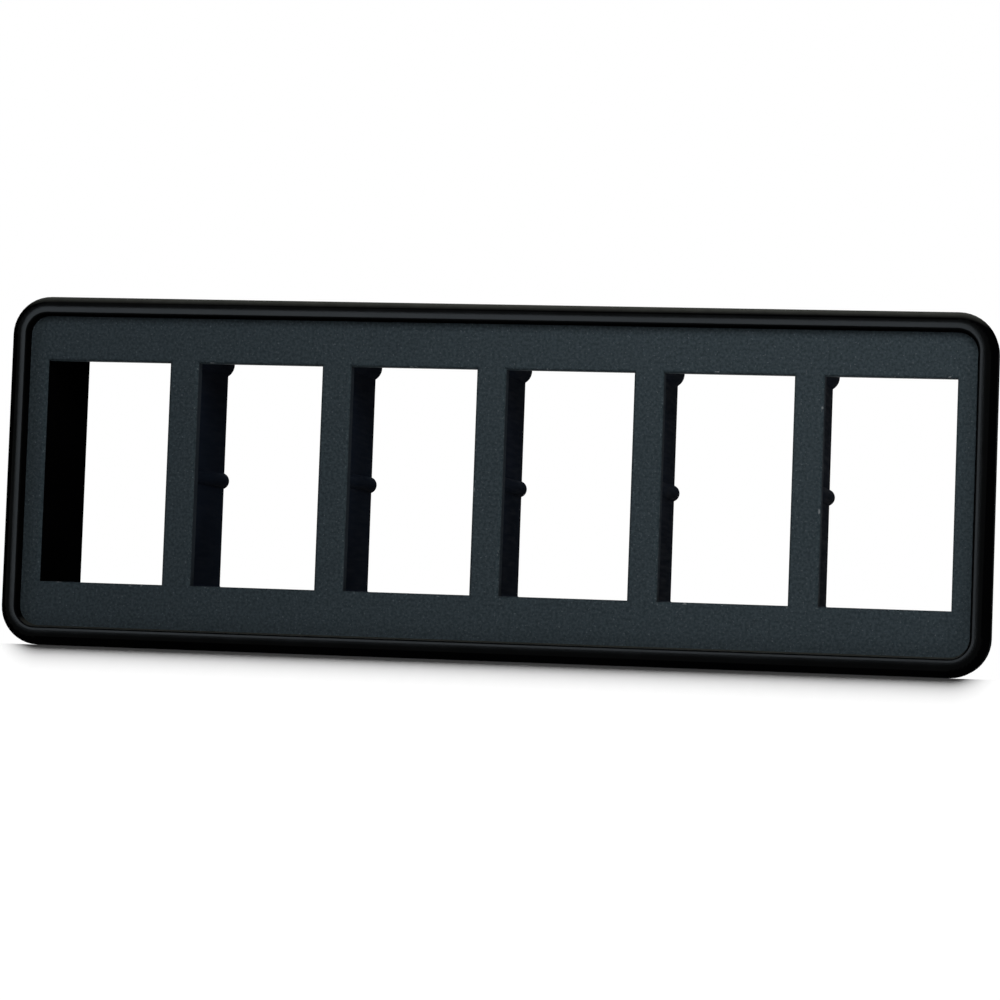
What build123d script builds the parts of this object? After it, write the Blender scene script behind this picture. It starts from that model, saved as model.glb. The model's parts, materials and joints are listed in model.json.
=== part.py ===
# Switch frame: a one-piece moulded plastic bezel that holds a row of snap-in rocker switches in a panel.
#
# The frame is drawn lying on its back, with x along the row, y across it and z towards the viewer,
# and z = 0 on the face of the panel that its skirt sits on. The last step stands it up, so that
# x runs to the viewer's right, the front faces -Y and +Z is up. Lengths are in mm, angles in degrees.
import os
from math import atan2, degrees

from build123d import *

# Switch openings: the common snap-in rocker cut-out, in one row
OPENING_COUNT = 6
OPENING_WIDTH = 21.1
OPENING_HEIGHT = 36.83
OPENING_EDGE_ROUND = 0.5
LAND_WIDTH = 4.85

# Face plate and the raised rim round it
END_MARGIN = 6.415
SIDE_MARGIN = 10.66
CORNER_RADIUS = 6.5
PLATE_THICKNESS = 2.4
RECESS_DEPTH = 2.0
RECESS_SLOPE = 0.3
RIM_ROUND = 2.45
RIM_LAND = 0.24
RIM_EDGE_ROUND = 0.35

# Skirt that hangs back from the rim to the panel
SKIRT_DEPTH = 5.5
SKIRT_WALL = 2.2
SKIRT_DRAFT = 2.0

# Open box behind the plate, which passes through the panel
BOX_REACH = 16.9
BOX_WALL = 2.0
BOX_CORNER_RADIUS = 3.0
BOX_LEAD_IN = 0.6
CELL_HEADROOM = 3.2
CELL_CORNER_RADIUS = 0.8
DIVIDER_SETBACK = 1.075
DRAFT = 0.4

# Screw bosses at both ends of each divider, and half-round ribs at its middle, clear of a switch
BOSS_ABOVE_OPENING = 1.5
BOSS_CLEARANCE = 0.13
PILOT_RADIUS = 1.1
PILOT_DEPTH = 12.0
RIB_RADIUS = 1.41
RIB_CLEARANCE = 0.32

# Heights along z
PLATE_FRONT = SKIRT_DEPTH
PLATE_BACK = PLATE_FRONT - PLATE_THICKNESS
RIM_FRONT = PLATE_FRONT + RECESS_DEPTH
BOX_END = -BOX_REACH

# Outlines of the flange and the box; the flange's is that of its sharp front edge, before rounding
OPENING_PITCH = OPENING_WIDTH + LAND_WIDTH
ROW_LENGTH = OPENING_COUNT * OPENING_PITCH - LAND_WIDTH
LENGTH = ROW_LENGTH + 2 * END_MARGIN
HEIGHT = OPENING_HEIGHT + 2 * SIDE_MARGIN
RIM_WIDTH = RIM_ROUND + RIM_LAND + RIM_EDGE_ROUND
CELL_HEIGHT = OPENING_HEIGHT + 2 * CELL_HEADROOM
BOX_LENGTH = ROW_LENGTH + 2 * BOX_WALL
BOX_HEIGHT = CELL_HEIGHT + 2 * BOX_WALL

# Dividers, and what stands on them
DIVIDER_ROOT = LAND_WIDTH - 2 * DIVIDER_SETBACK
BOSS_RADIUS = LAND_WIDTH / 2 - BOSS_CLEARANCE
RIB_OFFSET = LAND_WIDTH / 2 - RIB_CLEARANCE - RIB_RADIUS

# Places along the row
OPENING_CENTRES = [(i - (OPENING_COUNT - 1) / 2) * OPENING_PITCH for i in range(OPENING_COUNT)]
DIVIDER_CENTRES = [x + OPENING_PITCH / 2 for x in OPENING_CENTRES[:-1]]
BOSS_Y = OPENING_HEIGHT / 2 + BOSS_ABOVE_OPENING
BOSS_PLACES = [(x, y) for x in DIVIDER_CENTRES for y in (-BOSS_Y, BOSS_Y)]


def rounded_block(length, height, radius, start, end, taper=0.0):
    """Block with rounded corners drawn along z from start to end; a taper narrows it on the way."""
    outline = Pos(0, 0, start) * RectangleRounded(length, height, radius)
    return extrude(outline, amount=end - start, taper=taper)


def inset_block(inset, start, end, taper=0.0):
    """Block with the flange's outline, drawn in by an inset all round."""
    size = (LENGTH - 2 * inset, HEIGHT - 2 * inset, CORNER_RADIUS - inset)
    return rounded_block(*size, start, end, taper)


def flat_faces(body):
    """Faces square to z, from the rearmost to the foremost."""
    return body.faces().filter_by(Plane.XY).sort_by(Axis.Z)


def flange():
    """Face plate with its bullnose rim, sloped recess, openings and the skirt that hangs back from it."""
    body = inset_block(0, RIM_FRONT, 0, SKIRT_DRAFT)
    body = fillet(flat_faces(body)[-1].outer_wire().edges(), RIM_ROUND)
    recess_taper = -degrees(atan2(RECESS_SLOPE, RECESS_DEPTH))
    body -= inset_block(RIM_WIDTH + RECESS_SLOPE, PLATE_FRONT, RIM_FRONT, recess_taper)
    body = fillet(flat_faces(body)[-1].inner_wires().edges(), RIM_EDGE_ROUND)
    body -= [opening(x) for x in OPENING_CENTRES]
    plate_face = flat_faces(body)[-2]
    body = fillet(plate_face.inner_wires().edges(), OPENING_EDGE_ROUND)
    return body - inset_block(SKIRT_WALL, 0, PLATE_BACK)


def opening(x):
    """Cut for one switch, from the recess back."""
    return Pos(x, 0, 0) * extrude(Rectangle(OPENING_WIDTH, OPENING_HEIGHT), amount=PLATE_FRONT)


def cell(index):
    """Space behind one opening; an end cell runs to its opening's outer edge and no further."""
    wide = OPENING_WIDTH / 2 + DIVIDER_SETBACK
    left = OPENING_WIDTH / 2 if index == 0 else wide
    right = OPENING_WIDTH / 2 if index == OPENING_COUNT - 1 else wide
    space = rounded_block(left + right, CELL_HEIGHT, CELL_CORNER_RADIUS, PLATE_BACK, BOX_END, -DRAFT)
    return Pos(OPENING_CENTRES[index] + (right - left) / 2, 0, 0) * space


def box():
    """Drafted walls behind the plate, with the dividers left standing between the cells."""
    walls = rounded_block(BOX_LENGTH, BOX_HEIGHT, BOX_CORNER_RADIUS, PLATE_BACK, BOX_END, DRAFT)
    walls = chamfer(flat_faces(walls)[0].outer_wire().edges(), BOX_LEAD_IN)
    for index in range(OPENING_COUNT):
        walls -= cell(index)
    return walls


def post(radius, x, y):
    """Round post that runs from the plate to the end of the box."""
    return extrude(Pos(x, y, PLATE_BACK) * Circle(radius), amount=BOX_END - PLATE_BACK)


def pilot_hole(x, y):
    """Blind screw hole in the rear end of a boss."""
    return extrude(Pos(x, y, BOX_END) * Circle(PILOT_RADIUS), amount=PILOT_DEPTH)


def switch_frame():
    """The whole moulding, lying on its back."""
    body = flange() + box()
    body += [post(BOSS_RADIUS, x, y) for x, y in BOSS_PLACES]
    body += [post(RIB_RADIUS, x + side * RIB_OFFSET, 0) for x in DIVIDER_CENTRES for side in (-1, 1)]
    body -= [pilot_hole(x, y) for x, y in BOSS_PLACES]
    return body


os.makedirs("parts", exist_ok=True)
export_step(Rot(90, 0, 0) * switch_frame(), "parts/switch_frame.step")
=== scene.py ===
import json
from math import cos, hypot, pi, radians, sin, tan

import bpy
from mathutils import Matrix, Vector


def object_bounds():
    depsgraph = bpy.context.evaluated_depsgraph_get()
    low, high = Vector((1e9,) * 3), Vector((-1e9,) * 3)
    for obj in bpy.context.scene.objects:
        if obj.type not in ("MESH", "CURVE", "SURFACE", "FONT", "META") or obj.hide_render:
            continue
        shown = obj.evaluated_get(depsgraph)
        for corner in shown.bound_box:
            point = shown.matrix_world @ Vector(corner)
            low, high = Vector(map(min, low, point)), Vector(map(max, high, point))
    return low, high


MM = 0.001

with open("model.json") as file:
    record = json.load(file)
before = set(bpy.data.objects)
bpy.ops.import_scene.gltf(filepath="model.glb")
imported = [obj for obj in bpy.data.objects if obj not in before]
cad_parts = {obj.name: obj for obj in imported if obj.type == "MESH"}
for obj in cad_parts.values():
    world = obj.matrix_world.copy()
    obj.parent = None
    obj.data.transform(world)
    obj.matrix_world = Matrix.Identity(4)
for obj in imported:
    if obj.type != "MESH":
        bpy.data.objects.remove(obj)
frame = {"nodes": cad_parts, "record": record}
cad_low, cad_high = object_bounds()
part = frame["nodes"]["switch_frame"]
mounts = {mount["name"]: mount for mount in frame["record"]["mounts"]}

# Places along Y that the finishes follow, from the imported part
PLATE_THICKNESS = 2.4 * MM
RIM_FRONT = cad_low.y
PLATE_FRONT = mounts["switch_opening_1"]["pos_m"][1]
PLATE_BACK = PLATE_FRONT + PLATE_THICKNESS
SEAT = mounts["panel_cutout"]["pos_m"][1]
BOX_END = cad_high.y

# How far the finishes reach: in from the outline, back from the rim's front, and out to the cells' walls
CORNER_RADIUS = 6.4 * MM
RIM_BAND = 3.6 * MM
SKIRT_WALL = 2.2 * MM
CREST_DEPTH = 0.32 * MM
RIM_DEPTH = 2.45 * MM
EDGE_ROUND = 0.5 * MM
ROW_END = 75.3 * MM
CELL_REACH_X, CELL_REACH_Z = 76.4 * MM, 22.4 * MM
FACE_TOLERANCE = 0.02 * MM

# A face looks along the row when the x part of its normal is over this
ALONG_ROW = 0.5

# Sizes of the lumps in the finishes, and depths of their bumps
PLATE_GRAIN = 0.46 * MM
GLINT_SIZE = 0.8 * PLATE_GRAIN
NICK = 1.6 * MM
RIM_GRAIN = 0.20 * MM
WALL_GRAIN = 0.6 * MM
CLOUD = 9 * MM
RUBBED_PATCH = CLOUD / 2
DUST_AND_TOP_LIGHT_PATCH = CLOUD / 4
PAPER_TOOTH = 2 * MM
PLATE_BUMP = 0.08 * MM
FINE_BUMP = 0.02 * MM

# Places along the draw are scaled by this, which stretches the drag marks along it
DRAG_SQUEEZE = 0.08

# Ranges: of a noise that a finish uses, of a normal's upward part where dust and a painted top light lie,
# and of their share in its patches
NOISE_RANGE = (0.3, 0.7)
MOTTLE_RANGE = (0.35, 0.65)
GLINT_RANGE = (0.62, 0.74)
NICK_RANGE = (0.70, 0.75)
UPWARD_RANGE = (0.54, 0.90)
DUST_AND_TOP_LIGHT_SHARE = (0.8, 1.15)

# Roughness of each finish, from its least to its most, and of the paper
PLATE_ROUGHNESS = (0.45, 0.58)
CREST_ROUGHNESS = (0.22, 0.29)
SIDE_ROUGHNESS = (0.46, 0.56)
MOULD_ROUGHNESS = (0.5, 0.7)
PAPER_ROUGHNESS = 0.9

# Specular levels, low because the surroundings show white in reflections
PLATE_SPECULAR = 0.003
CREST_SPECULAR = 0.015
CUT_SPECULAR = 0.0007
WALL_SPECULAR = 0.0005
BACK_SPECULAR = 0.1
NO_SPECULAR = 0.0

# Colours, in linear red, green and blue; where there are two, a finish varies between them
WHITE = (1, 1, 1)
PLATE_COLOURS = (0.0145, 0.0205, 0.0239), (0.0255, 0.0345, 0.0391)
# Painted glints: the grain's sparkle put into the colour
GLINT_COLOUR = (0.052, 0.062, 0.069)
NICK_COLOUR = (0.10, 0.11, 0.115)
CREST_COLOURS = (0.0005, 0.0006, 0.0006), (0.0011, 0.0012, 0.0013)
# Rim sides and the left end wall: the plastic coloured near black, painted shade
SIDE_SHADE_COLOUR = (0.0006, 0.0006, 0.0007)
SKIRT_COLOUR = (0.008, 0.0085, 0.009)
# Dust that also stands in for light: a painted top light on faces that look up
DUST_AND_TOP_LIGHT_COLOUR = (0.026, 0.027, 0.0245)
# Openings' faces that look along the row: darker than the plate, painted shade
CUT_SHADE_COLOURS = (0.0072, 0.0096, 0.0125), (0.0144, 0.0180, 0.0220)
# Cells' walls: darker and bluer than the back, painted shade inside the cells
WALL_SHADE_COLOURS = (0.0019, 0.0032, 0.0058), (0.0040, 0.0059, 0.0102)
BACK_COLOURS = (0.010, 0.011, 0.012), (0.017, 0.018, 0.019)
PAPER_COLOURS = (0.95, 0.95, 0.95), (0.98, 0.98, 0.98)
GLOW = (0.08, 0.08, 0.08)

# Broad light on the paper: strength, the angle that it fills and its elevation
BROAD_STRENGTH = 4.0
BROAD_ANGLE = radians(58)
BROAD_ELEVATION = radians(52)

# Soft panels on the frame: watts, colour, azimuth and elevation in degrees, distance, width and height
# in m, and the kind of ray that doesn't see the panel
PANELS = {
    "front_panel": (0.51, (1.0, 1.0, 1.0), 24, 30, 0.237, 0.12, 0.12, "glossy"),
    "left_panel": (3.5, (0.85, 0.88, 1.0), -50, 15, 1.25, 0.50, 0.50, "glossy"),
    "right_fill": (0.9, (0.95, 0.97, 1.0), 60, -35, 0.45, 0.20, 0.20, "glossy"),
    "top_panel": (8, (1.0, 0.99, 0.95), 180, 80, 0.90, 0.50, 0.30, None),
    "crest_card": (65, (0.80, 0.91, 1.0), -15, 13, 1.0, 0.93, 0.72, "diffuse"),
    "back_panel": (6, (1.0, 0.98, 0.95), -155, 30, 1.25, 0.80, 0.60, None),
}

# Camera of the photograph; the optical centre's place is in pixels from the middle of the picture
IMAGE_SIZE = 1000
FOCAL_PIXELS = 3650
SENSOR = 36.0
EYE = Vector((121.82, -584.03, -27.31)) * MM
YAW, PITCH, ROLL = radians(11.70), radians(3.07), radians(2.09)
OPTICAL_CENTRE_RIGHT = 0.5
OPTICAL_CENTRE_RISE = 44.5

# Paper that the frame stands on: it falls a little behind the line where the frame touches it,
# and is folded down in front
FLOOR_BACK_FALL = radians(0.5)
FLOOR_FRONT_FALL = radians(75)
FLOOR_DROP = 1.5
FLOOR_REACH = 3.0
CONTACT_LINE = SEAT - 4.5 * MM


def new_material(name, specular):
    """Principled material; returns it with its tree, its shader and its object coordinates."""
    material = bpy.data.materials.new(name)
    material.use_nodes = True
    tree = material.node_tree
    shader = tree.nodes["Principled BSDF"]
    shader.inputs["Specular IOR Level"].default_value = specular
    place = tree.nodes.new("ShaderNodeTexCoord")
    return material, tree, shader, place.outputs["Object"]


def noise(tree, place, size, detail=2.0, roughness=0.5):
    """Noise whose lumps are about the given size."""
    node = tree.nodes.new("ShaderNodeTexNoise")
    node.inputs["Scale"].default_value = 1 / size
    node.inputs["Detail"].default_value = detail
    node.inputs["Roughness"].default_value = roughness
    tree.links.new(place, node.inputs["Vector"])
    return node.outputs["Fac"]


def spread(tree, value, span, new_span=(0.0, 1.0)):
    """Maps a value's range to another, and holds it there."""
    node = tree.nodes.new("ShaderNodeMapRange")
    node.inputs["From Min"].default_value, node.inputs["From Max"].default_value = span
    node.inputs["To Min"].default_value, node.inputs["To Max"].default_value = new_span
    tree.links.new(value, node.inputs["Value"])
    return node.outputs["Result"]


def mix_colour(tree, share, first, second):
    """Colour between two, by a share that varies over the surface; the first may vary too."""
    node = tree.nodes.new("ShaderNodeMix")
    node.data_type = "RGBA"
    if isinstance(first, tuple):
        node.inputs["A"].default_value = (*first, 1)
    else:
        tree.links.new(first, node.inputs["A"])
    node.inputs["B"].default_value = (*second, 1)
    tree.links.new(share, node.inputs["Factor"])
    return node.outputs["Result"]


def bump(tree, height, depth, strength):
    """Bump from a height."""
    node = tree.nodes.new("ShaderNodeBump")
    node.inputs["Distance"].default_value = depth
    node.inputs["Strength"].default_value = strength
    tree.links.new(height, node.inputs["Height"])
    return node.outputs["Normal"]


def dust_and_top_light(tree, place):
    """Dust and painted top light: their share on a surface, in patches where the surface faces up."""
    facing = tree.nodes.new("ShaderNodeNewGeometry")
    split = tree.nodes.new("ShaderNodeSeparateXYZ")
    tree.links.new(facing.outputs["Normal"], split.inputs["Vector"])
    upward = spread(tree, split.outputs["Z"], UPWARD_RANGE)
    patches = noise(tree, place, DUST_AND_TOP_LIGHT_PATCH, detail=4.0, roughness=0.6)
    top_light_share = tree.nodes.new("ShaderNodeMath")
    top_light_share.operation = "MULTIPLY"
    tree.links.new(upward, top_light_share.inputs[0])
    tree.links.new(spread(tree, patches, NOISE_RANGE, DUST_AND_TOP_LIGHT_SHARE), top_light_share.inputs[1])
    return top_light_share.outputs["Value"]


def plate_material(name, nicked=False):
    """Recessed face: spark-eroded grain with painted glints, fine light speckles in its colour; its edges
    also have a few light nicks.
    """
    material, tree, shader, place = new_material(name, PLATE_SPECULAR)
    grain = noise(tree, place, PLATE_GRAIN)
    colour = mix_colour(tree, spread(tree, grain, MOTTLE_RANGE), *PLATE_COLOURS)
    # Fine light speckles here are painted glints
    glints = spread(tree, noise(tree, place, GLINT_SIZE), GLINT_RANGE)
    colour = mix_colour(tree, glints, colour, GLINT_COLOUR)
    if nicked:
        nicks = spread(tree, noise(tree, place, NICK), NICK_RANGE)
        colour = mix_colour(tree, nicks, colour, NICK_COLOUR)
    tree.links.new(colour, shader.inputs["Base Color"])
    cloud = noise(tree, place, CLOUD)
    tree.links.new(spread(tree, cloud, NOISE_RANGE, PLATE_ROUGHNESS), shader.inputs["Roughness"])
    tree.links.new(bump(tree, grain, PLATE_BUMP, strength=1.0), shader.inputs["Normal"])
    return material


def crest_material():
    """Crest of the rim: the same plastic, rubbed smooth where hands and cloths reach it."""
    material, tree, shader, place = new_material("crest_rubbed", CREST_SPECULAR)
    rubbing = noise(tree, place, RUBBED_PATCH, detail=4.0)
    tree.links.new(mix_colour(tree, rubbing, *CREST_COLOURS), shader.inputs["Base Color"])
    tree.links.new(spread(tree, rubbing, NOISE_RANGE, CREST_ROUGHNESS), shader.inputs["Roughness"])
    grain = noise(tree, place, RIM_GRAIN)
    tree.links.new(bump(tree, grain, FINE_BUMP, strength=0.6), shader.inputs["Normal"])
    return material


def side_material(name, bare):
    """Outer side of the rim or the skirt: fine matte texture. Dust and a painted top light lie on upward
    faces; the rim side's near-black colour is painted shade.
    """
    material, tree, shader, place = new_material(name, NO_SPECULAR)
    grain = noise(tree, place, RIM_GRAIN)
    tree.links.new(mix_colour(tree, dust_and_top_light(tree, place), bare, DUST_AND_TOP_LIGHT_COLOUR), shader.inputs["Base Color"])
    tree.links.new(spread(tree, grain, NOISE_RANGE, SIDE_ROUGHNESS), shader.inputs["Roughness"])
    tree.links.new(bump(tree, grain, FINE_BUMP, strength=0.35), shader.inputs["Normal"])
    return material


def mould_material(name, specular, colours):
    """Walls and back: plain mould finish with faint drag marks along the draw; the darker colours given
    for the cells' walls and the openings' faces are painted shade.
    """
    material, tree, shader, place = new_material(name, specular)
    stretch = tree.nodes.new("ShaderNodeMapping")
    stretch.inputs["Scale"].default_value = (1, DRAG_SQUEEZE, 1)
    tree.links.new(place, stretch.inputs["Vector"])
    drag = noise(tree, stretch.outputs["Vector"], WALL_GRAIN, detail=3.0)
    tree.links.new(mix_colour(tree, noise(tree, place, CLOUD), *colours), shader.inputs["Base Color"])
    tree.links.new(spread(tree, drag, NOISE_RANGE, MOULD_ROUGHNESS), shader.inputs["Roughness"])
    tree.links.new(bump(tree, drag, FINE_BUMP, strength=0.3), shader.inputs["Normal"])
    return material


def inset_of(x, z):
    """How far a point lies in from the frame's rounded outline."""
    across = abs(x) - cad_high.x + CORNER_RADIUS
    up = abs(z) - cad_high.z + CORNER_RADIUS
    return CORNER_RADIUS - hypot(max(across, 0), max(up, 0)) - min(max(across, up), 0)


def finish_of(face):
    """Which finish a face has, by where it lies; the left end wall and the left opening's end face take
    the near-black side colour as painted shade.
    """
    x, y, z = face.center
    inset = inset_of(x, z)
    shaded_left_end = x < -ROW_END
    if y < PLATE_FRONT - FACE_TOLERANCE and inset < RIM_BAND:
        if y < RIM_FRONT + CREST_DEPTH:
            return "crest"
        return "side" if y < RIM_FRONT + RIM_DEPTH else "skirt"
    if y < SEAT - FACE_TOLERANCE and inset < SKIRT_WALL - FACE_TOLERANCE:
        return "skirt"
    if y > PLATE_BACK - FACE_TOLERANCE:
        in_cell = abs(x) < CELL_REACH_X and abs(z) < CELL_REACH_Z
        if not in_cell or y > BOX_END - FACE_TOLERANCE:
            return "back"
        return "side" if shaded_left_end else "wall"
    # Faces of the openings that look along the row are darkened, painted shade
    if y > PLATE_FRONT + EDGE_ROUND and abs(face.normal.x) > ALONG_ROW:
        return "side" if shaded_left_end else "cut"
    if PLATE_FRONT + FACE_TOLERANCE < y < PLATE_FRONT + EDGE_ROUND:
        return "edge"
    return "plate"


def dress_part():
    """Gives each face of the moulding its finish."""
    finishes = {
        "plate": plate_material("plate_grain"),
        "edge": plate_material("plate_edge", nicked=True),
        "crest": crest_material(),
        # The rim's sides are coloured near black as painted shade
        "side": side_material("side_painted_shade", SIDE_SHADE_COLOUR),
        "skirt": side_material("skirt_matte", SKIRT_COLOUR),
        "cut": mould_material("cut_painted_shade", CUT_SPECULAR, CUT_SHADE_COLOURS),
        "wall": mould_material("wall_painted_shade", WALL_SPECULAR, WALL_SHADE_COLOURS),
        "back": mould_material("back_matte", BACK_SPECULAR, BACK_COLOURS),
    }
    part.data.materials.clear()
    for material in finishes.values():
        part.data.materials.append(material)
    names = list(finishes)
    for face in part.data.polygons:
        face.material_index = names.index(finish_of(face))


def paper_material():
    """White paper with a little tooth."""
    material, tree, shader, place = new_material("white_paper", NO_SPECULAR)
    shader.inputs["Roughness"].default_value = PAPER_ROUGHNESS
    fibres = noise(tree, place, PAPER_TOOTH)
    tree.links.new(mix_colour(tree, fibres, *PAPER_COLOURS), shader.inputs["Base Color"])
    return material


def sweep():
    """Paper under the frame, folded down towards the viewer just behind the rim."""
    back_drop = (FLOOR_REACH - CONTACT_LINE) * tan(FLOOR_BACK_FALL)
    profile = [
        (FLOOR_REACH, cad_low.z - back_drop),
        (CONTACT_LINE, cad_low.z),
        (CONTACT_LINE - FLOOR_DROP / tan(FLOOR_FRONT_FALL), cad_low.z - FLOOR_DROP),
    ]
    points = [(x, y, z) for y, z in profile for x in (-FLOOR_REACH, FLOOR_REACH)]
    faces = [(2 * i, 2 * i + 1, 2 * i + 3, 2 * i + 2) for i in range(len(profile) - 1)]
    mesh = bpy.data.meshes.new("paper_sweep")
    mesh.from_pydata(points, [], faces)
    mesh.materials.append(paper_material())
    floor = bpy.data.objects.new("paper_sweep", mesh)
    bpy.context.scene.collection.objects.link(floor)
    return floor


def studio_world():
    """Surroundings: white to look at and in reflections, with only a dim glow of their own."""
    world = bpy.data.worlds.new("studio")
    world.use_nodes = True
    tree = world.node_tree
    path = tree.nodes.new("ShaderNodeLightPath")
    seen = path.outputs["Is Camera Ray"]
    for name in ("Is Glossy Ray", "Is Transmission Ray"):
        either = tree.nodes.new("ShaderNodeMath")
        either.operation = "MAXIMUM"
        tree.links.new(seen, either.inputs[0])
        tree.links.new(path.outputs[name], either.inputs[1])
        seen = either.outputs["Value"]
    colour = mix_colour(tree, seen, GLOW, WHITE)
    tree.links.new(colour, tree.nodes["Background"].inputs["Color"])
    bpy.context.scene.world = world


def lamp(name, kind, energy, colour):
    """Adds a lamp and returns its object."""
    data = bpy.data.lights.new(name, kind)
    data.energy = energy
    data.color = colour
    light = bpy.data.objects.new(name, data)
    bpy.context.scene.collection.objects.link(light)
    return light


def aim(light, direction):
    """Turns a lamp so that it shines along a direction."""
    light.rotation_euler = Vector(direction).to_track_quat("-Z", "Y").to_euler()


def only_on(light, thing):
    """Links a lamp to one thing: the frame blocks its light, and nothing else receives it."""
    lit = bpy.data.collections.new(light.name + "_lights")
    lit.objects.link(thing)
    light.light_linking.receiver_collection = lit


def panel(name, watts, colour, azimuth, elevation, distance, width, height, unseen_by):
    """Soft panel that faces the frame and lights it alone, so that the paper keeps the frame's shadow."""
    light = lamp(name, "AREA", watts, colour)
    light.data.shape = "RECTANGLE"
    light.data.size, light.data.size_y = width, height
    turn, rise = radians(azimuth), radians(elevation)
    level = distance * cos(rise)
    light.location = (level * sin(turn), -level * cos(turn), distance * sin(rise))
    aim(light, -light.location)
    only_on(light, part)
    light.visible_glossy = unseen_by != "glossy"
    light.visible_diffuse = unseen_by != "diffuse"


def lamps(floor):
    """Broad light from above for the paper, and soft panels round the frame."""
    broad = lamp("broad", "SUN", BROAD_STRENGTH, WHITE)
    broad.data.angle = BROAD_ANGLE
    aim(broad, (0, cos(BROAD_ELEVATION), -sin(BROAD_ELEVATION)))
    only_on(broad, floor)
    for name, values in PANELS.items():
        panel(name, *values)


def camera():
    """Camera fitted to the openings' corners in the photograph."""
    data = bpy.data.cameras.new("camera")
    data.sensor_width = SENSOR
    data.lens = FOCAL_PIXELS * SENSOR / IMAGE_SIZE
    data.shift_x = -OPTICAL_CENTRE_RIGHT / IMAGE_SIZE
    data.shift_y = -OPTICAL_CENTRE_RISE / IMAGE_SIZE
    view = bpy.data.objects.new("camera", data)
    upright = Matrix.Rotation(pi / 2 + PITCH, 4, "X")
    turn = Matrix.Rotation(YAW, 4, "Z") @ upright @ Matrix.Rotation(ROLL, 4, "Z")
    view.matrix_world = Matrix.Translation(EYE) @ turn
    bpy.context.scene.collection.objects.link(view)
    bpy.context.scene.camera = view


dress_part()
floor = sweep()
studio_world()
lamps(floor)
camera()
bpy.context.scene.view_settings.view_transform = "Standard"
